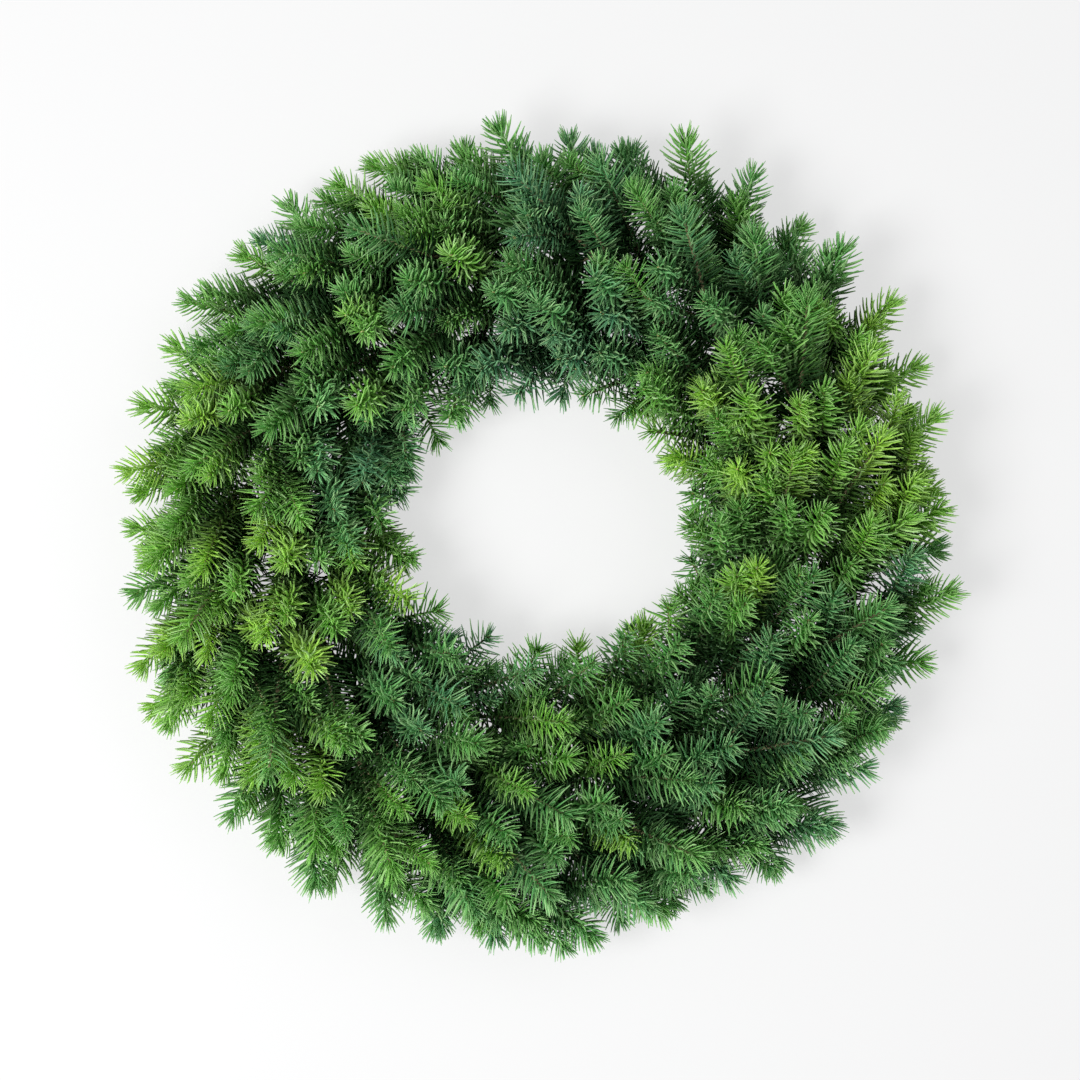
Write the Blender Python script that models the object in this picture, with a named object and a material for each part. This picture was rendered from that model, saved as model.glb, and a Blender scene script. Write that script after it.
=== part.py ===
"""A fresh evergreen wreath of noble fir, lying on its back.

Cut branches are laid the same way round a wire ring, in bunches that each cover the stems of the next.
Every bunch holds three branches side by side, and the two prongs of a wire clamp are folded over them.
The origin is the middle of the ring on the surface it lies on. +Z leaves the face, +Y is the top.
"""

import math
import random

import bmesh
import bpy
from mathutils import Vector

# The clamp ring: a hoop of heavy wire with a wire clamp welded across it for every bunch.
RING_RADIUS = 0.178
RING_WIRE = 0.0038
RING_SIDES = 8
RING_STEPS_PER_CLAMP = 4
CLAMPS = 14
FIRST_CLAMP = math.radians(20)
CLAMP_WIRE = 0.0028
CLAMP_SIDES = 6
PRONG_SPACING = 0.0040
PRONG_END = 0.0068
PRONG_BEND = 0.0026
BEND_CORNER = 0.3

# Meshes that touch keep this gap.
GAP = 0.0003

# The stems of a bunch, side by side under the clamp.
STEM = 0.0060
STEM_SPACING = 0.0056
STEM_TAIL = 0.016
STEM_STRAIGHT = 0.007
STEM_LEAD = 0.012

# The needled shoots of each branch: the way each leaves the clamp, from along the ring towards the outside.
INNER_HEADINGS = (-65, -84, -47)
FACE_HEADINGS = (-3, -22, 16)
OUTER_HEADINGS = (61, 40, 84)
INNER_LENGTHS = (1.15, 1.0, 1.3)
FACE_LENGTHS = (0.182, 0.162, 0.160)
SIDE_SHOOT_START = (0.010, 0.018)
SIDE_SHOOT_FOOT = 0.0030
SHOOT_HALF_WIDTH = 0.0230
SHOOT_HALF_DEPTH = 0.0160
INNER_HALF_WIDTH = 0.0175
INNER_HALF_DEPTH = 0.0130
WIDTH_GROWTH = 0.19
DEPTH_GROWTH = 0.16
FULL_SHARE = 0.68
SHOOT_SIDES = 6
SHOOT_STATIONS = (0.16, 0.42, 0.68, 0.90)

# How far each bunch reaches out from the middle, and in from the ring.
OUTER_REACH = (
    0.308, 0.303, 0.296, 0.289, 0.305, 0.302, 0.300,
    0.304, 0.297, 0.294, 0.286, 0.296, 0.302, 0.293,
)
INNER_REACH = (
    0.072, 0.078, 0.078, 0.080, 0.080, 0.080, 0.090,
    0.098, 0.106, 0.104, 0.098, 0.086, 0.074, 0.070,
)

# Each bunch lies over the next: its shoots climb from the clamp as they go round the ring.
CLIMB = 0.110
CLIMB_EASE = 0.10
SIDE_RISE = 0.009
SIDE_CLEAR = 0.012
SIDE_RUN = 0.045

# How bunches differ from one another.
SEED = 24
FAN_TURN = math.radians(3.0)
LENGTH_CHANGE = 0.05

# Colours of the greens, from the bluest bunch to the yellowest.
BLUE_GREEN = Vector((0.026, 0.092, 0.052))
YELLOW_GREEN = Vector((0.092, 0.205, 0.026))
BUNCH_YELLOW = (0.45, 0.70, 0.20, 0.35, 0.40, 0.60, 0.75, 0.90, 0.80, 0.50, 0.30, 0.25, 0.45, 0.65)
STEEL = Vector((0.42, 0.43, 0.42))

CLAMP_BASE_Z = RING_WIRE + GAP + CLAMP_WIRE / 2
STEM_Z = CLAMP_BASE_Z + CLAMP_WIRE / 2 + GAP + STEM / 2
PRONG_Z = STEM_Z + STEM / 2 + GAP + CLAMP_WIRE / 2
CLAMP_HALF_WIDTH = STEM_SPACING + STEM / 2 + GAP + CLAMP_WIRE / 2
CLAMP_TURN = 2 * math.pi / CLAMPS


def clear_scene():
    for obj in list(bpy.data.objects):
        bpy.data.objects.remove(obj, do_unlink=True)


def finish_material(name, colour, roughness, metallic):
    material = bpy.data.materials.new(name)
    material.use_nodes = True
    shader = material.node_tree.nodes["Principled BSDF"]
    shader.inputs["Base Color"].default_value = (*colour, 1)
    shader.inputs["Roughness"].default_value = roughness
    shader.inputs["Metallic"].default_value = metallic
    material.diffuse_color = (*colour, 1)
    return material


def add_object(name, mesh, material, turn=0.0):
    mesh.materials.clear()
    mesh.materials.append(material)
    mesh.shade_smooth()
    obj = bpy.data.objects.new(name, mesh)
    obj.rotation_euler.z = turn
    bpy.context.scene.collection.objects.link(obj)
    return obj


def loft(bm, sections, tip=None):
    """Joins closed sections one after another. The last closes on a tip, if there is one."""
    loops = [[bm.verts.new(point) for point in section] for section in sections]
    count = len(loops[0])
    for near, far in zip(loops, loops[1:]):
        for i in range(count):
            j = (i + 1) % count
            bm.faces.new((near[i], near[j], far[j], far[i]))
    bm.faces.new(loops[0])
    if tip is None:
        bm.faces.new(loops[-1])
        return
    end = bm.verts.new(tip)
    for i in range(count):
        bm.faces.new((loops[-1][i], loops[-1][(i + 1) % count], end))


def closed_mesh(name, bm):
    bmesh.ops.recalc_face_normals(bm, faces=bm.faces)
    mesh = bpy.data.meshes.new(name)
    bm.to_mesh(mesh)
    bm.free()
    return mesh


def clamp_angle(index):
    return FIRST_CLAMP + index * CLAMP_TURN


def make_ring():
    """The hoop, its wire lying on a flat of its section, with a straight step of it under each clamp."""
    steps = CLAMPS * RING_STEPS_PER_CLAMP
    flat_turn = math.pi / RING_SIDES
    corner = RING_WIRE / 2 / math.cos(flat_turn)
    bm = bmesh.new()
    profile = []
    for i in range(RING_SIDES):
        turn = flat_turn + i * 2 * flat_turn
        x = RING_RADIUS + corner * math.cos(turn)
        profile.append(bm.verts.new((x, 0, RING_WIRE / 2 + corner * math.sin(turn))))
    edges = [bm.edges.new((profile[i - 1], profile[i])) for i in range(RING_SIDES)]
    around = {"axis": (0, 0, 1), "cent": (0, 0, 0), "angle": 2 * math.pi, "steps": steps}
    bmesh.ops.spin(bm, geom=profile + edges, use_merge=True, **around)
    mesh = closed_mesh("ring_wire", bm)
    steel = finish_material("ring_steel", STEEL, 0.45, 0.9)
    add_object("ring_wire", mesh, steel, FIRST_CLAMP + math.pi / steps)


def clamp_path():
    """From the end of the outer prong, down and under the stems, and up to the end of the inner prong."""
    side = PRONG_SPACING / 2
    wide = CLAMP_HALF_WIDTH
    bend = PRONG_BEND
    corner = BEND_CORNER * bend
    half = [
        (-PRONG_END, side, PRONG_Z),
        (wide - bend, side, PRONG_Z),
        (wide - corner, side, PRONG_Z - corner),
        (wide, side, PRONG_Z - bend),
        (wide, side, CLAMP_BASE_Z + bend),
        (wide - corner, side * (1 - corner / wide), CLAMP_BASE_Z + corner),
        (wide - bend, side * (1 - bend / wide), CLAMP_BASE_Z),
    ]
    other = [(-x, -y, z) for x, y, z in reversed(half)]
    return [Vector(point) for point in half + other]


def make_clamps():
    path = clamp_path()
    sections = []
    for i, point in enumerate(path):
        along = (path[min(i + 1, len(path) - 1)] - path[max(i - 1, 0)]).normalized()
        across = Vector((0, 1, 0))
        across = (across - along * across.dot(along)).normalized()
        up = along.cross(across)
        ring = []
        for k in range(CLAMP_SIDES):
            turn = 2 * math.pi * k / CLAMP_SIDES
            ring.append(point + (across * math.cos(turn) + up * math.sin(turn)) * CLAMP_WIRE / 2)
        sections.append(ring)
    bm = bmesh.new()
    loft(bm, sections)
    bmesh.ops.translate(bm, verts=bm.verts, vec=(RING_RADIUS, 0, 0))
    mesh = closed_mesh("clamp", bm)
    steel = finish_material("clamp_steel", STEEL, 0.45, 0.9)
    for i in range(CLAMPS):
        add_object(f"clamp_{i + 1:02d}", mesh, steel, clamp_angle(i))


def ease(share):
    share = min(max(share, 0.0), 1.0)
    return share * share * (3 - 2 * share)


def sheet_height(x, y):
    """Height of the middle of a bunch, for a bunch whose clamp is on the X axis."""
    climb = max(0.0, math.atan2(y, x) - STEM_LEAD / RING_RADIUS)
    aside = (abs(math.hypot(x, y) - RING_RADIUS) - SIDE_CLEAR) / SIDE_RUN
    return STEM_Z + CLIMB * climb * climb / (climb + CLIMB_EASE) + SIDE_RISE * ease(aside)


def section(x, y, heading, half_width, half_depth):
    """A section across a shoot, on the sheet that its bunch lies in."""
    points = []
    for k in range(SHOOT_SIDES):
        turn = math.pi / 2 + 2 * math.pi * k / SHOOT_SIDES
        across = half_width * math.cos(turn) / math.cos(math.pi / SHOOT_SIDES)
        px = x + across * math.cos(heading)
        py = y - across * math.sin(heading)
        points.append(Vector((px, py, sheet_height(px, py) + half_depth * math.sin(turn))))
    return points


def swell(share, distance, growth, full):
    """Half width or depth of the needles along a shoot, from its bare foot to its round tip."""
    size = min(full, STEM / 2 + growth * distance)
    if share <= FULL_SHARE:
        return size
    return size * math.sqrt(1 - ((share - FULL_SHARE) / (1 - FULL_SHARE)) ** 2)


def shoot_mesh(name, foot, heading, length, full_width, full_depth, stem_x=None):
    """One needled shoot. With stem_x it also has the bare stem of its branch, straight under the clamp."""
    sections = []
    if stem_x is not None:
        half = STEM / 2
        for y in (-STEM_TAIL, STEM_STRAIGHT):
            sections.append(section(stem_x, y, 0.0, half * math.cos(math.pi / SHOOT_SIDES), half))
    else:
        sections.append(section(*foot, heading, SIDE_SHOOT_FOOT / 2, SIDE_SHOOT_FOOT / 2))
    for share in SHOOT_STATIONS:
        distance = share * length
        width = swell(share, distance, WIDTH_GROWTH, full_width)
        depth = swell(share, distance, DEPTH_GROWTH, full_depth)
        x = foot[0] + distance * math.sin(heading)
        y = foot[1] + distance * math.cos(heading)
        sections.append(section(x, y, heading, width, depth))
    x = foot[0] + length * math.sin(heading)
    y = foot[1] + length * math.cos(heading)
    bm = bmesh.new()
    loft(bm, sections, Vector((x, y, sheet_height(x, y))))
    bmesh.ops.triangulate(bm, faces=bm.faces)
    return closed_mesh(name, bm)


def join_shoots(name, meshes):
    """One closed mesh from the main shoot and its side shoots."""
    objects = [bpy.data.objects.new(f"{name}_shoot", mesh) for mesh in meshes]
    for obj in objects:
        bpy.context.scene.collection.objects.link(obj)
    for side in objects[1:]:
        union = objects[0].modifiers.new("join", "BOOLEAN")
        union.operation = "UNION"
        union.object = side
    evaluated = objects[0].evaluated_get(bpy.context.evaluated_depsgraph_get())
    joined = bpy.data.meshes.new_from_object(evaluated)
    joined.name = name
    for obj in objects:
        bpy.data.objects.remove(obj, do_unlink=True)
    return joined


def make_branch(name, bunch, stem_x, headings, lengths, full_width, full_depth):
    """A cut branch: its stem under the clamp, its main shoot and two side shoots."""
    foot = (RING_RADIUS + stem_x, STEM_LEAD)
    meshes = []
    for i, (heading, length) in enumerate(zip(headings, lengths)):
        if i == 0:
            meshes.append(shoot_mesh(name, foot, heading, length, full_width, full_depth, foot[0]))
            continue
        start = SIDE_SHOOT_START[i - 1]
        side_foot = (foot[0] + start * math.sin(headings[0]), foot[1] + start * math.cos(headings[0]))
        meshes.append(shoot_mesh(name, side_foot, heading, length - start, full_width, full_depth))
    green = BLUE_GREEN.lerp(YELLOW_GREEN, BUNCH_YELLOW[bunch])
    needles = finish_material(f"{name}_needles", green, 0.6, 0.0)
    add_object(name, join_shoots(name, meshes), needles, clamp_angle(bunch))


def length_to_radius(heading, radius):
    """How long a shoot is that leaves the ring this way and ends this far from the middle."""
    outward = RING_RADIUS * math.sin(heading)
    return math.sqrt(outward**2 + radius**2 - RING_RADIUS**2) - outward


def make_bunch(bunch, draw):
    turn = draw.uniform(-FAN_TURN, FAN_TURN)

    def varied(values):
        return [value * (1 + draw.uniform(-LENGTH_CHANGE, LENGTH_CHANGE)) for value in values]

    number = f"{bunch + 1:02d}"
    headings = [math.radians(angle) + turn for angle in INNER_HEADINGS]
    lengths = varied([INNER_REACH[bunch] * share for share in INNER_LENGTHS])
    make_branch(
        f"inner_branch_{number}", bunch, -STEM_SPACING, headings, lengths, INNER_HALF_WIDTH, INNER_HALF_DEPTH
    )
    headings = [math.radians(angle) + turn for angle in FACE_HEADINGS]
    lengths = varied(FACE_LENGTHS)
    make_branch(
        f"face_branch_{number}", bunch, 0.0, headings, lengths, SHOOT_HALF_WIDTH, SHOOT_HALF_DEPTH
    )
    headings = [math.radians(angle) + turn for angle in OUTER_HEADINGS]
    lengths = varied([length_to_radius(angle, OUTER_REACH[bunch]) for angle in headings])
    make_branch(
        f"outer_branch_{number}", bunch, STEM_SPACING, headings, lengths, SHOOT_HALF_WIDTH, SHOOT_HALF_DEPTH
    )


clear_scene()
make_ring()
make_clamps()
draw = random.Random(SEED)
for bunch in range(CLAMPS):
    make_bunch(bunch, draw)
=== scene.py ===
"""A fresh noble fir wreath on its back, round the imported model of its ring, clamps and branches."""

import math
import random

import bpy
from mathutils import Matrix, Vector


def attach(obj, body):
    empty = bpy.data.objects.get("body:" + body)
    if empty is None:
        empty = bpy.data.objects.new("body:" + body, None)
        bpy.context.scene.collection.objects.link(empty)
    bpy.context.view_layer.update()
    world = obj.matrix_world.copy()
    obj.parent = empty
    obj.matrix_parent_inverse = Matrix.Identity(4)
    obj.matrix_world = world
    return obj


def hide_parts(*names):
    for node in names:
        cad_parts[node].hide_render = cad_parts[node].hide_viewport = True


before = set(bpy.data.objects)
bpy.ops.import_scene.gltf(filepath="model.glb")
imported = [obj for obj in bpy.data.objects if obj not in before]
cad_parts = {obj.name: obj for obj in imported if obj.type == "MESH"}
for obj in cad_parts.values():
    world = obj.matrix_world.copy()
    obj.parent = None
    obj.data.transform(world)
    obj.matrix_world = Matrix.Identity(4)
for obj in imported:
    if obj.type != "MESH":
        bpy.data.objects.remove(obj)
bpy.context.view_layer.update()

# ---------------------------------------------------------------------------------------------------------
# Clamp ring. One hoop of heavy galvanised wire carries the whole wreath. The zinc is dull and spotted, and
# the wire lies flat on what the wreath rests on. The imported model's own hoop is shown.


class Pattern:
    """One output of a node tree. Sums on it add Math nodes to the tree."""

    def __init__(self, tree, output=None):
        self.tree = tree
        self.output = output

    def node(self, kind, settings=None, inputs=None, output=0):
        made = self.tree.nodes.new(kind)
        for name, value in (settings or {}).items():
            if name == "stops":
                ramp = made.color_ramp
                for place, colour in value[1:-1]:
                    ramp.elements.new(place)
                for element, (place, colour) in zip(ramp.elements, value):
                    element.position = place
                    element.color = (*colour, 1)
            else:
                setattr(made, name, value)
        for key, value in (inputs or {}).items():
            if isinstance(value, Pattern):
                self.tree.links.new(value.output, made.inputs[key])
            else:
                made.inputs[key].default_value = value
        return Pattern(self.tree, made.outputs[output])

    def math(self, operation, *values):
        inputs = dict(enumerate((self, *values)))
        return self.node("ShaderNodeMath", {"operation": operation}, inputs)

    def vector(self, operation, *values, output=0):
        inputs = dict(enumerate((self, *values)))
        return self.node("ShaderNodeVectorMath", {"operation": operation}, inputs, output)

    def scaled(self, amount):
        return self.node("ShaderNodeVectorMath", {"operation": "SCALE"}, {0: self, "Scale": amount})

    def __add__(self, other):
        return self.math("ADD", other)

    __radd__ = __add__

    def __sub__(self, other):
        return self.math("SUBTRACT", other)

    def __rsub__(self, other):
        return self * -1.0 + other

    def __mul__(self, other):
        return self.math("MULTIPLY", other)

    __rmul__ = __mul__

    def __gt__(self, other):
        return self.math("GREATER_THAN", other)

    def mix(self, low, high):
        """The colour low where this is 0, and high where it is 1."""
        made = self.tree.nodes.new("ShaderNodeMix")
        made.data_type = "RGBA"
        made.clamp_factor = True
        sockets = {socket.identifier: socket for socket in made.inputs}
        self.tree.links.new(self.output, sockets["Factor_Float"])
        for name, colour in (("A_Color", low), ("B_Color", high)):
            if isinstance(colour, Pattern):
                self.tree.links.new(colour.output, sockets[name])
            else:
                sockets[name].default_value = (*colour, 1)
        result = [socket for socket in made.outputs if socket.identifier == "Result_Color"][0]
        return Pattern(self.tree, result)

    def attribute(self, name):
        return self.node("ShaderNodeAttribute", {"attribute_name": name}, output="Fac")

    def bump(self, strength, distance):
        """A relief of this height, for a shader's Normal."""
        inputs = {"Strength": strength, "Distance": distance, "Height": self}
        return self.node("ShaderNodeBump", inputs=inputs)


def new_material(name, **constants):
    """A material, its shader and a pattern to start its nodes from. Constants go on the shader's sockets."""
    material = bpy.data.materials.new(name)
    material.use_nodes = True
    shader = material.node_tree.nodes["Principled BSDF"]
    for key, value in constants.items():
        shader.inputs[key.replace("_", " ")].default_value = value
    return material, shader, Pattern(material.node_tree)


def wire(pattern, shader, socket):
    pattern.tree.links.new(pattern.output, shader.inputs[socket])


def galvanised(name, spangle_size):
    """Zinc on drawn wire: dull grey, spangled, with darker dirt in spots."""
    material, shader, start = new_material(name, Metallic=0.85)
    place = start.node("ShaderNodeTexCoord", output="Object")
    noise_inputs = {"Vector": place, "Scale": 1 / spangle_size, "Detail": 3.0}
    spangle = start.node("ShaderNodeTexNoise", inputs=noise_inputs)
    dirt = start.node("ShaderNodeTexNoise", inputs={"Vector": place, "Scale": 60.0, "Detail": 2.0})
    zinc = spangle.mix((0.26, 0.27, 0.27), (0.50, 0.51, 0.50))
    spots = ((dirt - 0.45) * 5.0).math("SMOOTH_MIN", 1.0, 0.1)
    wire(spots.mix((0.13, 0.12, 0.09), zinc), shader, "Base Color")
    wire(0.35 + spangle * 0.25, shader, "Roughness")
    wire(spangle.bump(0.2, 0.0002), shader, "Normal")
    return material


def dress(node, material):
    """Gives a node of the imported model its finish."""
    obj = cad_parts[node]
    obj.data.materials.clear()
    obj.data.materials.append(material)


dress("ring_wire", galvanised("ring_zinc", 0.0016))

# ---------------------------------------------------------------------------------------------------------
# Clamps. Each is one length of thinner galvanised wire, welded across the ring, with both its prongs folded
# over the three stems of a bunch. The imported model's own clamps are shown.

CLAMPS = 14
clamp_zinc = galvanised("clamp_zinc", 0.0011)
for number in range(1, CLAMPS + 1):
    dress(f"clamp_{number:02d}", clamp_zinc)

# ---------------------------------------------------------------------------------------------------------
# Greens. Every branch is a cut branch of noble fir: brown bark, needled shoots on both sides of its main
# shoot, and a resinous bud at each tip. Needles leave the shoot all round and sweep up and forward.

NEEDLE_SPACING = 0.00040
NEEDLE_LENGTH = 0.0196
NEEDLE_HALF_WIDTH = 0.058  # as a share of its length
NEEDLE_FLATNESS = 0.62
NEEDLE_TURN = 0.6180339  # the golden section, in turns from one needle to the next
BUD_LENGTH = 0.0042
CROWN = 0.016  # the end of a shoot, where needles are shorter and point forward
CROWN_LEAN = 0.36
CROWN_SIZE = 0.64
LEAN_GAIN = 0.80
FORWARD_SWEEP = 0.55
LOWEST_NEEDLE = 0.0003


def bark_material():
    material, shader, start = new_material("bark", Roughness=0.8)
    place = start.node("ShaderNodeTexCoord", output="Object")
    grain = start.node("ShaderNodeTexNoise", inputs={"Vector": place, "Scale": 420.0, "Detail": 4.0})
    patches = start.node("ShaderNodeTexNoise", inputs={"Vector": place, "Scale": 70.0, "Detail": 2.0})
    brown = grain.mix((0.070, 0.042, 0.022), (0.235, 0.160, 0.090))
    wire(patches.mix(brown, (0.16, 0.17, 0.075)), shader, "Base Color")
    wire(grain.bump(0.5, 0.0006), shader, "Normal")
    return material


def needle_material():
    """Blue-green to yellow-green by shoot and paler towards a needle's end. Random needles are paler, partly
    waxy bloom and partly a painted highlight, and needles far from a shoot's tip go nearly black with
    painted shade.
    """
    material, shader, start = new_material("needles", Specular_IOR_Level=0.22)
    tint = start.attribute("tint")
    along = start.attribute("blade")
    own = start.attribute("own")
    stops = [
        (0.0, (0.070, 0.290, 0.140)),
        (0.35, (0.090, 0.360, 0.065)),
        (0.65, (0.180, 0.510, 0.035)),
        (1.0, (0.410, 0.720, 0.050)),
    ]
    green = start.node("ShaderNodeValToRGB", {"stops": stops}, {"Fac": tint + (own - 0.5) * 0.22})
    # Pale waxy bloom towards each needle's end. On random needles the pale colour is partly bloom and partly
    # a painted highlight.
    bloom_and_highlight = along * 0.30 + own * own * own * 0.55
    bloomed_and_highlit = bloom_and_highlight.mix(green, (0.42, 0.62, 0.32))
    # Painted shade, with a little of the real darkening of older needles: needles far from a shoot's tip,
    # deep among the greens, go nearly black.
    painted_foot_shade = start.attribute("left") * 27.0 - 0.32
    wire(painted_foot_shade.math("MINIMUM", 0.93).mix(bloomed_and_highlit, (0.007, 0.038, 0.007)), shader, "Base Color")
    wire(0.62 - own * 0.18, shader, "Roughness")
    return material


def bud_material():
    material, shader, start = new_material("buds", Roughness=0.45)
    place = start.node("ShaderNodeTexCoord", output="Object")
    scales = start.node("ShaderNodeTexNoise", inputs={"Vector": place, "Scale": 900.0, "Detail": 1.0})
    wire(scales.mix((0.20, 0.13, 0.05), (0.42, 0.40, 0.16)), shader, "Base Color")
    return material


bark, needles, buds = bark_material(), needle_material(), bud_material()


def needle_tree():
    """Turns the lines of a branch into bark, needles and buds."""
    tree = bpy.data.node_groups.new("noble_fir_branch", "GeometryNodeTree")
    face = tree.interface
    face.new_socket("Geometry", in_out="INPUT", socket_type="NodeSocketGeometry")
    face.new_socket("Needle Spacing", in_out="INPUT", socket_type="NodeSocketFloat")
    face.new_socket("Needle Length", in_out="INPUT", socket_type="NodeSocketFloat")
    face.new_socket("Bud Length", in_out="INPUT", socket_type="NodeSocketFloat")
    face.new_socket("Seed", in_out="INPUT", socket_type="NodeSocketInt")
    face.new_socket("Geometry", in_out="OUTPUT", socket_type="NodeSocketGeometry")
    given = tree.nodes.new("NodeGroupInput")
    start = Pattern(tree)
    lines, spacing, length, bud_length, seed = [Pattern(tree, given.outputs[i]) for i in range(5)]

    def named(name, kind="FLOAT"):
        settings = {"data_type": kind}
        return start.node("GeometryNodeInputNamedAttribute", settings, {"Name": name})

    def kept(geometry, name, value):
        settings = {"data_type": "FLOAT", "domain": "POINT"}
        inputs = {"Geometry": geometry, "Name": name, "Value": value}
        return start.node("GeometryNodeStoreNamedAttribute", settings, inputs)

    def chance(low, high, offset):
        made = tree.nodes.new("FunctionNodeRandomValue")
        made.data_type = "FLOAT"
        sockets = {socket.identifier: socket for socket in made.inputs}
        sockets["Min_001"].default_value = low
        sockets["Max_001"].default_value = high
        tree.links.new((seed + offset).output, sockets["Seed"])
        result = [socket for socket in made.outputs if socket.identifier == "Value_001"][0]
        return Pattern(tree, result)

    def points_on(lines, settings, inputs):
        """Points along lines, each line's direction there, and the turn that a piece takes from it."""
        points = start.node("GeometryNodeCurveToPoints", settings, {"Curve": lines, **inputs})
        outputs = points.output.node.outputs
        return [Pattern(tree, outputs[name]) for name in ("Points", "Tangent", "Rotation")]

    def ended(geometry, material):
        """Real, smooth faces in one material. What would reach below the wreath is bent flat there."""
        real = start.node("GeometryNodeRealizeInstances", inputs={"Geometry": geometry})
        real = start.node("GeometryNodeSetShadeSmooth", inputs={"Geometry": real})
        position = start.node("GeometryNodeInputPosition")
        spot = start.node("ShaderNodeSeparateXYZ", inputs={"Vector": position})
        x, y, z = [Pattern(tree, output) for output in spot.output.node.outputs]
        raised = {"X": x, "Y": y, "Z": z.math("MAXIMUM", LOWEST_NEEDLE)}
        rest = start.node("ShaderNodeCombineXYZ", inputs=raised)
        real = start.node("GeometryNodeSetPosition", inputs={"Geometry": real, "Position": rest})
        return start.node("GeometryNodeSetMaterial", inputs={"Geometry": real, "Material": material})

    curves = start.node("GeometryNodeMeshToCurve", inputs={"Mesh": lines})

    # Bark: the shoots as tapering round twigs.
    ring = start.node("GeometryNodeCurvePrimitiveCircle", inputs={"Resolution": 7, "Radius": 1.0})
    tube_inputs = {"Curve": curves, "Profile Curve": ring, "Scale": named("thick"), "Fill Caps": True}
    twigs = start.node("GeometryNodeCurveToMesh", inputs=tube_inputs)

    # One needle, one unit long: it leaves the twig, bends up and ends blunt.
    bezier = {"Resolution": 2, "Start": (0, 0, 0), "Middle": (0.55, 0, -0.03), "End": (0.95, 0, 0.30)}
    blade = start.node("GeometryNodeCurveQuadraticBezier", inputs=bezier)
    share = start.node("GeometryNodeSplineParameter")
    blade = kept(blade, "blade", share)
    middle = share * 2.0 - 0.8
    width = (1.0 - middle * middle * 0.42) * NEEDLE_HALF_WIDTH
    flat = start.node("GeometryNodeCurvePrimitiveCircle", inputs={"Resolution": 3, "Radius": 1.0})
    flat_inputs = {"Geometry": flat, "Scale": (NEEDLE_FLATNESS, 1.0, 1.0)}
    flat = start.node("GeometryNodeTransform", inputs=flat_inputs)
    blade_inputs = {"Curve": blade, "Profile Curve": flat, "Scale": width, "Fill Caps": True}
    blade = start.node("GeometryNodeCurveToMesh", inputs=blade_inputs)

    # Where needles stand, and which way each one leaves the twig: up is square to the twig, on its dorsal
    # side, and turn is the way round the twig from there.
    spread_out = {"Length": spacing * named("sparse")}
    stands, tangent, _ = points_on(curves, {"mode": "LENGTH"}, spread_out)
    along = named("along")
    dorsal = named("dorsal", "FLOAT_VECTOR")
    place = (start.node("GeometryNodeInputIndex") * NEEDLE_TURN).math("FRACT")
    turn = (place * 2.0 - 1.0) * named("wrap") + chance(-0.16, 0.16, 1)
    opened = (named("left") * (1 / CROWN)).math("MINIMUM", 1.0)
    lean = CROWN_LEAN + opened.math("POWER", 0.6) * LEAN_GAIN + chance(-0.13, 0.13, 2)
    inline = dorsal.vector("DOT_PRODUCT", tangent, output="Value")
    up = dorsal.vector("SUBTRACT", tangent.scaled(inline)).vector("NORMALIZE")
    side = tangent.vector("CROSS_PRODUCT", up)
    around = up.scaled(turn.math("COSINE")).vector("ADD", side.scaled(turn.math("SINE")))
    away = tangent.scaled(lean.math("COSINE")).vector("ADD", around.scaled(lean.math("SINE")))
    sweep = tangent.scaled(FORWARD_SWEEP).vector("ADD", up)
    axes = {"primary_axis": "X", "secondary_axis": "Z"}
    aim_inputs = {"Primary Axis": away, "Secondary Axis": sweep}
    aim = start.node("FunctionNodeAxesToRotation", axes, aim_inputs)
    grown_share = CROWN_SIZE + opened * (1 - CROWN_SIZE)
    size = length * grown_share * named("size") * chance(0.80, 1.10, 3)
    stands = kept(stands, "own", chance(0.0, 1.0, 4))
    needled = along > named("bare")
    grow_inputs = {"Points": stands, "Selection": needled, "Instance": blade, "Rotation": aim, "Scale": size}
    grown = start.node("GeometryNodeInstanceOnPoints", inputs=grow_inputs)

    # A bud closes each tip.
    tips, _, tip_turn = points_on(curves, {"mode": "EVALUATED"}, {})
    ball = start.node("GeometryNodeMeshIcoSphere", inputs={"Radius": 0.5, "Subdivisions": 1})
    ball = start.node("GeometryNodeTransform", inputs={"Geometry": ball, "Scale": (0.72, 0.72, 1.1)})
    bud_inputs = {"Points": tips, "Selection": along > 0.999, "Instance": ball}
    bud_inputs.update(Rotation=tip_turn, Scale=bud_length)
    bud = start.node("GeometryNodeInstanceOnPoints", inputs=bud_inputs)

    join = tree.nodes.new("GeometryNodeJoinGeometry")
    for piece, material in ((bud, buds), (grown, needles), (twigs, bark)):
        tree.links.new(ended(piece, material).output, join.inputs["Geometry"])
    out = tree.nodes.new("NodeGroupOutput")
    tree.links.new(join.outputs["Geometry"], out.inputs["Geometry"])
    return tree


branch_tree = needle_tree()

# How the bunches lie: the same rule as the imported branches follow.
RING_RADIUS = 0.178
FIRST_CLAMP = math.radians(20)
STEM = 0.0060
STEM_SPACING = 0.0056
STEM_TAIL = 0.016
STEM_LEAD = 0.012
STEM_Z = 0.0102
OUTER_REACH = (
    0.308, 0.303, 0.296, 0.289, 0.305, 0.302, 0.300,
    0.304, 0.297, 0.294, 0.286, 0.296, 0.302, 0.293,
)
INNER_REACH = (
    0.072, 0.078, 0.078, 0.080, 0.080, 0.080, 0.090,
    0.098, 0.106, 0.104, 0.098, 0.086, 0.074, 0.070,
)
CLIMB = 0.110
CLIMB_EASE = 0.10
SIDE_RISE = 0.009
SIDE_CLEAR = 0.012
SIDE_RUN = 0.045
SEED = 24
FAN_TURN = math.radians(3.0)
LENGTH_CHANGE = 0.05

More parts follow.
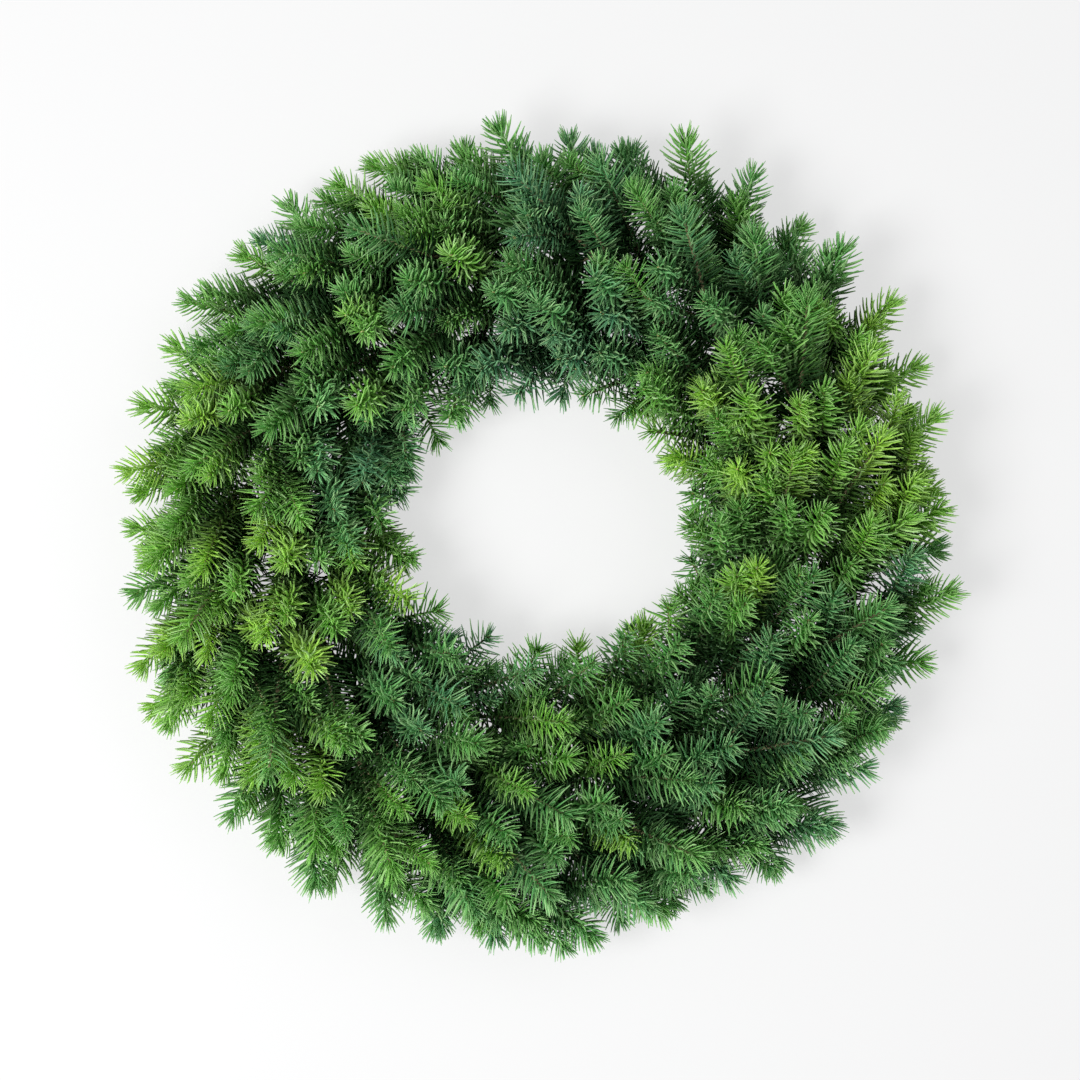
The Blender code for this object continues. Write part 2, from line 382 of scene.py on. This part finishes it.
# What the lines of the shoots add to that rule.
SHOOT_STEPS = 9
SHOOT_BEND = 9
HIGHEST_TIP = 0.099
CROWN_LENGTH = 0.006
NEEDLES_BEYOND = 0.009
TWIG = 0.0018
TIP_TWIG = 0.0015
CROWN_TWIG = 0.0006
TWIG_TAPER = 0.62
UP = Vector((0, 0, 1))

# The middle of the opening lies a little up and to the right, and rings of tips close to it follow it.
HOLE_RADIUS = 0.108
HOLE_SHIFT = Vector((0.006, 0.009, 0.0))
HOLE_REACH = 0.07


def ease(share):
    share = min(max(share, 0.0), 1.0)
    return share * share * (3 - 2 * share)


def sheet_height(x, y):
    """Height of the middle of a bunch, for a bunch whose clamp is on the X axis."""
    climb = max(0.0, math.atan2(y, x) - STEM_LEAD / RING_RADIUS)
    aside = (abs(math.hypot(x, y) - RING_RADIUS) - SIDE_CLEAR) / SIDE_RUN
    return STEM_Z + CLIMB * climb * climb / (climb + CLIMB_EASE) + SIDE_RISE * ease(aside)


def length_to_radius(heading, radius):
    """How long a shoot is that leaves the ring this way and ends this far from the middle."""
    outward = RING_RADIUS * math.sin(heading)
    return math.sqrt(outward**2 + radius**2 - RING_RADIUS**2) - outward


INNER_HEADINGS = (-65, -84, -47)
FACE_HEADINGS = (-3, -22, 16)
OUTER_HEADINGS = (61, 40, 84)
INNER_LENGTHS = (1.15, 1.0, 1.3)
FACE_LENGTHS = (0.182, 0.162, 0.160)


def bunch_plans():
    """For each bunch, the headings and lengths of the main and side shoots of its three branches."""
    draw = random.Random(SEED)
    plans = []
    for bunch in range(CLAMPS):
        turn = draw.uniform(-FAN_TURN, FAN_TURN)
        fans = {}
        for kind, angles in (("inner", INNER_HEADINGS), ("face", FACE_HEADINGS), ("outer", OUTER_HEADINGS)):
            headings = [math.radians(angle) + turn for angle in angles]
            if kind == "inner":
                lengths = [INNER_REACH[bunch] * share for share in INNER_LENGTHS]
            elif kind == "face":
                lengths = FACE_LENGTHS
            else:
                lengths = [length_to_radius(angle, OUTER_REACH[bunch]) for angle in headings]
            lengths = [value * (1 + draw.uniform(-LENGTH_CHANGE, LENGTH_CHANGE)) for value in lengths]
            fans[kind] = list(zip(headings, lengths))
        plans.append(fans)
    return plans


plans = bunch_plans()

# Patches of colour over the wreath: way from the middle (degrees), distance (metres), spread and yellowness.
TINT_PATCHES = (
    (185, 0.21, 0.11, 0.80),
    (215, 0.25, 0.10, 0.72),
    (18, 0.20, 0.08, 0.88),
    (250, 0.24, 0.10, 0.50),
    (285, 0.25, 0.07, 0.30),
    (318, 0.22, 0.08, 0.22),
    (345, 0.25, 0.07, 0.28),
    (90, 0.14, 0.05, 0.05),
    (83, 0.25, 0.05, 0.15),
    (60, 0.24, 0.08, 0.40),
    (168, 0.14, 0.05, 0.08),
    (235, 0.13, 0.05, 0.15),
    (125, 0.24, 0.11, 0.48),
    (140, 0.15, 0.06, 0.35),
    (0, 0.14, 0.06, 0.55),
    (300, 0.13, 0.06, 0.50),
)
TINT_CHANGE = 0.15


def tint_at(point, draw):
    """Yellowness of a shoot from where its tip lies, with the change there is from shoot to shoot."""
    total, weight = 0.0, 0.0
    for angle, distance, spread, yellow in TINT_PATCHES:
        turn = math.radians(angle)
        middle = Vector((math.cos(turn), math.sin(turn))) * distance
        near = math.exp(-((point.xy - middle).length / spread) ** 2 * 2)
        total += near * yellow
        weight += near
    return min(max(total / weight + draw.gauss(0, TINT_CHANGE), 0.0), 1.0)


class Branch:
    """The lines of one cut branch, gathered before they become a mesh."""

    def __init__(self, bunch):
        self.turn = Matrix.Rotation(FIRST_CLAMP + bunch * 2 * math.pi / CLAMPS, 4, "Z")
        self.bunch = bunch
        self.points = []
        self.edges = []
        self.carriers = []
        names = ("thick", "along", "left", "size", "sparse", "wrap", "bare", "tint", "dorsal")
        self.values = {name: [] for name in names}

    def line(self, points, tint, **given):
        """One line from foot to tip. Dorsal is the side that its needles sweep up to."""
        first = len(self.points)
        lengths = [(b - a).length for a, b in zip(points, points[1:])]
        whole = sum(lengths)
        done = 0.0
        for i, point in enumerate(points):
            self.points.append(point)
            share = done / whole
            done += lengths[i] if i < len(lengths) else 0.0
            row = dict(given, along=share, left=whole * (1 - share), tint=tint)
            row["thick"] = given["thick"] * (1 - TWIG_TAPER * share)
            for name, values in self.values.items():
                values.append(row[name])
        self.edges += [(i, i + 1) for i in range(first, len(self.points) - 1)]

    def shoot(self, points, draw, **given):
        """A needled shoot: its twig with its needles, and the crown of needles round its bud."""
        tint = tint_at(points[-1], draw)
        self.line(points, tint, **given)
        crown = dict(given, thick=CROWN_TWIG, bare=-1.0, sparse=0.75)
        end, before = points[-1], points[-2]
        back = min(1.0, CROWN_LENGTH / (end - before).length)
        self.line([end.lerp(before, back), end], tint, **crown)

    def build(self, name, seed):
        """The branch as one plain mesh, with its lines turned into bark, needles and buds."""
        mesh = bpy.data.meshes.new(f"{name}_lines")
        mesh.from_pydata(self.points, self.edges, [])
        for key, values in self.values.items():
            kind = "FLOAT_VECTOR" if key == "dorsal" else "FLOAT"
            layer = mesh.attributes.new(key, kind, "POINT")
            if kind == "FLOAT":
                layer.data.foreach_set("value", values)
            else:
                layer.data.foreach_set("vector", [number for value in values for number in value])
        lines = bpy.data.objects.new(f"{name}_lines", mesh)
        bpy.context.scene.collection.objects.link(lines)
        grow = lines.modifiers.new("grow", "NODES")
        grow.node_group = branch_tree
        inputs = {"Needle Spacing": NEEDLE_SPACING, "Needle Length": NEEDLE_LENGTH}
        inputs.update({"Bud Length": BUD_LENGTH, "Seed": seed})
        for item in branch_tree.interface.items_tree:
            if item.in_out == "INPUT" and item.name in inputs:
                grow[item.identifier] = inputs[item.name]
        evaluated = lines.evaluated_get(bpy.context.evaluated_depsgraph_get())
        grown = bpy.data.meshes.new_from_object(evaluated)
        bpy.data.objects.remove(lines)
        bpy.data.meshes.remove(mesh)
        piece = bpy.data.objects.new(name, grown)
        bpy.context.scene.collection.objects.link(piece)
        return piece


def shoot_line(foot, heading, length, bend, rise):
    """Points along a shoot that lies on its bunch's sheet, bends aside by bend and rises towards its tip."""
    x, y = foot
    step = length / SHOOT_STEPS
    line = []
    for i in range(SHOOT_STEPS + 1):
        share = i / SHOOT_STEPS
        if i:
            way = heading + bend * share
            x += step * math.sin(way)
            y += step * math.cos(way)
        line.append(Vector((x, y, sheet_height(x, y) + rise * share**1.4)))
    over = line[-1].z - HIGHEST_TIP
    if over > 0:
        line = [Vector((p.x, p.y, p.z - over * (i / SHOOT_STEPS) ** 2)) for i, p in enumerate(line)]
    return line


def cut_branch(kind, bunch, stem_x):
    """A branch's stem and main shoot, and its two side shoots."""
    draw = random.Random(f"{kind} {bunch}")
    branch = Branch(bunch)
    foot = (RING_RADIUS + stem_x, STEM_LEAD)
    for i, (heading, length) in enumerate(plans[bunch][kind]):
        length -= NEEDLES_BEYOND
        bend = math.radians(draw.uniform(-SHOOT_BEND, SHOOT_BEND))
        line = shoot_line(foot, heading - bend / 2, length, bend, draw.uniform(0.0, 0.012))
        if i == 0:
            line = [Vector((foot[0], -STEM_TAIL, STEM_Z)), Vector((foot[0], 0, STEM_Z))] + line
        line = [branch.turn @ point for point in line]
        branch.carriers += line[3:-1]
        thick = STEM / 2 if i == 0 else TWIG
        size = draw.uniform(1.02, 1.20)
        branch.shoot(line, draw, thick=thick, bare=0.30, size=size, sparse=1.55, wrap=2.3, dorsal=UP)
    return branch


def add_tips(branches, rows, seed):
    """Side shoots whose tips stand in loose rows round the wreath, each carried by the nearest branch. A row
    is its radius, its number of tips, their height, and how far they lean outwards and upwards."""
    draw = random.Random(seed)
    for radius, count, height, outward, upward in rows:
        for i in range(count):
            angle = 2 * math.pi * (i + draw.uniform(-0.32, 0.32)) / count + radius * 40
            away = Vector((math.cos(angle), math.sin(angle), 0))
            around = Vector((-away.y, away.x, 0))
            tip = away * (radius + draw.uniform(-0.010, 0.010))
            tip += HOLE_SHIFT * max(0.0, 1 - (radius - HOLE_RADIUS) / HOLE_REACH)
            tip.z = min(height + draw.uniform(-0.012, 0.008), HIGHEST_TIP)
            lean = around * draw.uniform(0.6, 1.2) + away * (outward + draw.gauss(0, 0.22))
            lean.z = upward + draw.gauss(0, 0.22)
            lean.normalize()
            seat = tip - lean * draw.uniform(0.055, 0.080)
            seats = [(point, branch) for branch in branches for point in branch.carriers]
            foot, branch = min(seats, key=lambda pair: (pair[0] - seat).length)
            middle = tip - lean * (tip - foot).length * 0.55
            line = []
            for step in range(SHOOT_STEPS):
                share = step / (SHOOT_STEPS - 1)
                line.append(foot.lerp(middle, share).lerp(middle.lerp(tip, share), share))
            steep = min(max(lean.z, 0.0), 1.0)
            given = {"dorsal": UP * (1.05 - steep) - around * steep, "wrap": 2.2 + 0.94 * steep}
            given.update(thick=TIP_TWIG, bare=0.10, size=draw.uniform(0.92, 1.18), sparse=0.97)
            branch.shoot(line, draw, **given)


def place(kind, branches):
    """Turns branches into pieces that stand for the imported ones."""
    for branch in branches:
        number = f"{branch.bunch + 1:02d}"
        piece = branch.build(f"{kind}_greens_{number}", 100 * branch.bunch + len(kind))
        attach(piece, "root")
        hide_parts(f"{kind}_branch_{number}")


# ---------------------------------------------------------------------------------------------------------
# Inner branches. The shortest of each bunch, laid into the open middle, low and close to the ring.

INNER_ROWS = (
    (0.108, 15, 0.040, -0.60, 0.40),
    (0.126, 19, 0.058, -0.45, 0.65),
    (0.145, 22, 0.078, -0.25, 0.85),
)
inner_branches = [cut_branch("inner", bunch, -STEM_SPACING) for bunch in range(CLAMPS)]
add_tips(inner_branches, INNER_ROWS, 5)
place("inner", inner_branches)

# ---------------------------------------------------------------------------------------------------------
# Face branches. The longest of each bunch, laid along the ring. They arch over the next bunch's clamp, so
# their tips make the front of the wreath.

FACE_ROWS = (
    (0.150, 24, 0.046, -0.20, 0.10),
    (0.190, 30, 0.055, 0.10, 0.10),
    (0.230, 36, 0.046, 0.30, 0.10),
    (0.162, 22, 0.090, -0.10, 0.90),
    (0.184, 26, 0.096, 0.05, 0.95),
    (0.208, 29, 0.096, 0.20, 0.90),
    (0.232, 32, 0.089, 0.35, 0.80),
)
face_branches = [cut_branch("face", bunch, 0.0) for bunch in range(CLAMPS)]
add_tips(face_branches, FACE_ROWS, 6)
place("face", face_branches)

# ---------------------------------------------------------------------------------------------------------
# Outer branches. Laid outwards, they make the wreath's rim, and lean round it the way all the greens run.

OUTER_ROWS = (
    (0.252, 38, 0.080, 0.50, 0.75),
    (0.272, 42, 0.064, 0.75, 0.60),
    (0.290, 44, 0.044, 1.00, 0.35),
)
outer_branches = [cut_branch("outer", bunch, STEM_SPACING) for bunch in range(CLAMPS)]
add_tips(outer_branches, OUTER_ROWS, 7)
place("outer", outer_branches)

# ---------------------------------------------------------------------------------------------------------
# Floor, lights and camera. The wreath lies on a wide, plain white floor, under one broad soft light from its
# left and a weaker one from its right. The camera looks straight down on its face.

FLOOR_SIZE = 6.0
CAMERA_HEIGHT = 1.62
CAMERA_SPAN = 0.81

floor_mesh = bpy.data.meshes.new("floor")
half = FLOOR_SIZE / 2
corners = [(-half, -half, 0), (half, -half, 0), (half, half, 0), (-half, half, 0)]
floor_mesh.from_pydata(corners, [], [(0, 1, 2, 3)])
floor = bpy.data.objects.new("floor", floor_mesh)
bpy.context.scene.collection.objects.link(floor)
floor_material, floor_shader, start = new_material("floor_white", Roughness=0.9, Specular_IOR_Level=0.1)
floor_shader.inputs["Base Color"].default_value = (0.80, 0.80, 0.80, 1)
rays = start.tree.nodes.new("ShaderNodeLightPath")
seen = Pattern(start.tree, rays.outputs["Is Camera Ray"])
glow = start.node("ShaderNodeEmission", inputs={"Color": (0.848, 0.846, 0.846, 1), "Strength": 1.0})
blend = start.node("ShaderNodeMixShader", inputs={0: seen * 0.72})
start.tree.links.new(floor_shader.outputs[0], blend.output.node.inputs[1])
start.tree.links.new(glow.output, blend.output.node.inputs[2])
surface = start.tree.nodes["Material Output"].inputs["Surface"]
start.tree.links.new(blend.output, surface)
floor_mesh.materials.append(floor_material)


def soft_light(name, place, size, power):
    """A square soft box that faces the middle of the wreath."""
    light = bpy.data.lights.new(name, "AREA")
    light.shape = "SQUARE"
    light.size = size
    light.energy = power
    obj = bpy.data.objects.new(name, light)
    obj.location = place
    obj.rotation_euler = (-Vector(place)).to_track_quat("-Z", "Y").to_euler()
    bpy.context.scene.collection.objects.link(obj)


soft_light("key", (-1.3, -0.5, 1.9), 1.1, 74.0)
soft_light("fill", (1.5, 0.9, 1.9), 1.6, 16.0)

world = bpy.data.worlds.new("studio")
bpy.context.scene.world = world
world.use_nodes = True
world.node_tree.nodes["Background"].inputs["Color"].default_value = (0.95, 0.97, 1.0, 1)
world.node_tree.nodes["Background"].inputs["Strength"].default_value = 0.42

camera = bpy.data.cameras.new("camera")
camera.sensor_width = 36.0
camera.lens = camera.sensor_width * CAMERA_HEIGHT / CAMERA_SPAN
camera_object = bpy.data.objects.new("camera", camera)
camera_object.location = (0.002, -0.001, CAMERA_HEIGHT)
bpy.context.scene.collection.objects.link(camera_object)
bpy.context.scene.camera = camera_object
bpy.context.scene.view_settings.view_transform = "Standard"
